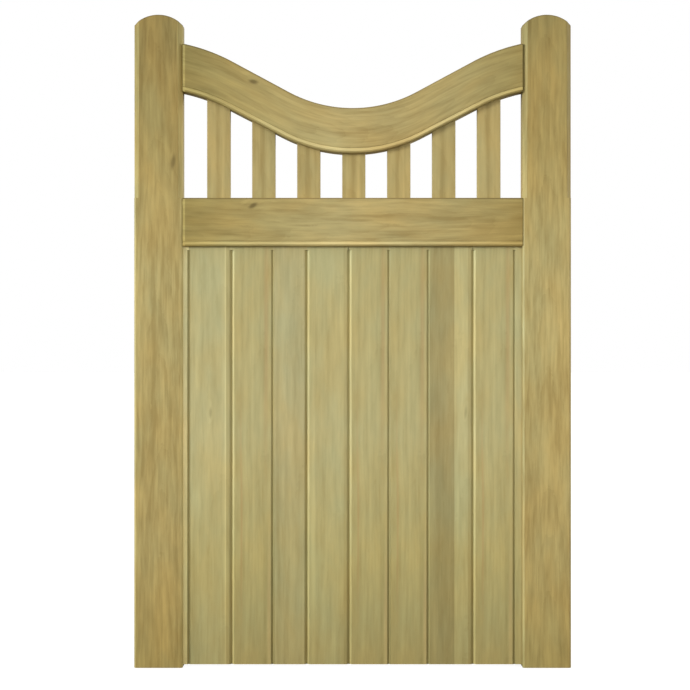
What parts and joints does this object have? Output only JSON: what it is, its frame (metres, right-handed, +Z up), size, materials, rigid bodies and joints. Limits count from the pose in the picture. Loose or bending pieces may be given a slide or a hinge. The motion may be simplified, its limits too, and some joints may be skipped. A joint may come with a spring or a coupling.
{
  "type": "garden gate",
  "caption": "Framed, boarded and braced timber garden gate with a swan-neck top rail, open pales above and V-jointed boards below.",
  "frame": {"origin": "on the ground line, under the middle of the gate's width and thickness", "axes": "+X across the gate from the hanging stile to the closing stile, +Y from the boarded front face to the braced back, +Z up"},
  "size_m": [0.9, 0.045, 1.345],
  "materials": {
    "frame_timber": "planed pressure-treated softwood, green tint",
    "board_timber": "planed pressure-treated softwood boards, paler and greener",
    "wedge_timber": "sawn softwood wedges, cut flush",
    "screw_steel": "zinc-plated countersunk screws"
  },
  "bodies": {
    "root": {"stile_left": "frame_timber", "stile_right": "frame_timber", "top_rail": "frame_timber", "middle_rail": "frame_timber", "bottom_rail": "frame_timber", "brace": "frame_timber", "pale_1": "frame_timber", "pale_2": "frame_timber", "pale_3": "frame_timber", "pale_4": "frame_timber", "pale_5": "frame_timber", "pale_6": "frame_timber", "pale_7": "frame_timber", "board_1": "board_timber", "board_2": "board_timber", "board_3": "board_timber", "board_4": "board_timber", "board_5": "board_timber", "board_6": "board_timber", "board_7": "board_timber", "board_8": "board_timber", "board_9": "board_timber", "board_10": "board_timber", "top_wedge_left_lower": "wedge_timber", "top_wedge_left_upper": "wedge_timber", "top_wedge_right_lower": "wedge_timber", "top_wedge_right_upper": "wedge_timber", "middle_wedge_left_lower": "wedge_timber", "middle_wedge_left_upper": "wedge_timber", "middle_wedge_right_lower": "wedge_timber", "middle_wedge_right_upper": "wedge_timber", "bottom_wedge_left_lower": "wedge_timber", "bottom_wedge_left_upper": "wedge_timber", "bottom_wedge_right_lower": "wedge_timber", "bottom_wedge_right_upper": "wedge_timber", "bottom_rail_screws": "screw_steel", "brace_screws": "screw_steel"}
  },
  "joints": []
}
